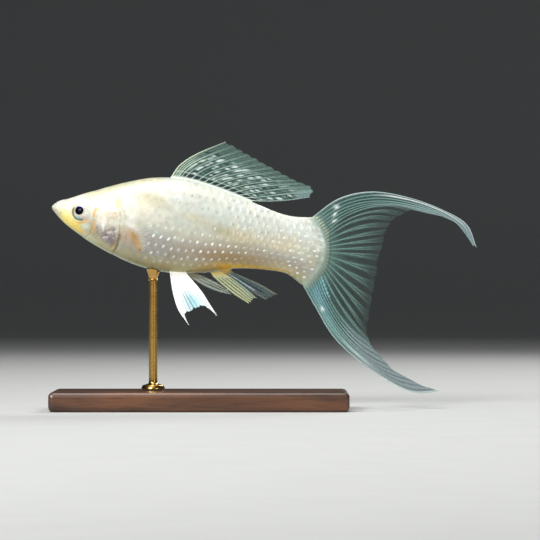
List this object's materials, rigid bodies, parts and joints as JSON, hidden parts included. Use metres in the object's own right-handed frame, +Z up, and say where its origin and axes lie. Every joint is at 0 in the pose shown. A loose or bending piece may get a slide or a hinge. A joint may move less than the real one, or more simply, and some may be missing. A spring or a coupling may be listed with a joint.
{
  "type": "sailfin molly fish model on stand",
  "caption": "Life-size still model of a pale sailfin molly with a lyre-shaped tail and ridged fins, held nose-up on a slim rod over a flat wooden display base.",
  "frame": {"origin": "centre of the flat underside of the display base", "axes": "+X along the fish towards its tail (the head points to -X), +Z up, -Y towards the side that the picture shows, which is the fish's left"},
  "size_m": [0.1087, 0.034, 0.0687],
  "materials": {
    "skin": "pearly cream scaled skin with a wet gloss",
    "eye": "silver iris under a clear glossy cornea, with a black pupil",
    "fin": "translucent grey-green fin membrane with paler rays",
    "pelvic_fin": "opaque bluish-white fin membrane",
    "stand_wood": "dark satin-varnished walnut",
    "stand_brass": "turned and lacquered brass"
  },
  "bodies": {
    "root": {"head": "skin", "torso": "skin", "tail": "skin", "gill_cover_left": "skin", "gill_cover_right": "skin", "eye_left": "eye", "eye_right": "eye", "dorsal_fin": "fin", "caudal_fin_upper": "fin", "caudal_fin_middle": "fin", "caudal_fin_lower": "fin", "anal_fin": "fin", "pelvic_fin_left": "pelvic_fin", "pelvic_fin_right": "fin", "pectoral_fin_left": "fin", "pectoral_fin_right": "fin", "stand_base": "stand_wood", "stand_rod": "stand_brass"}
  },
  "joints": []
}
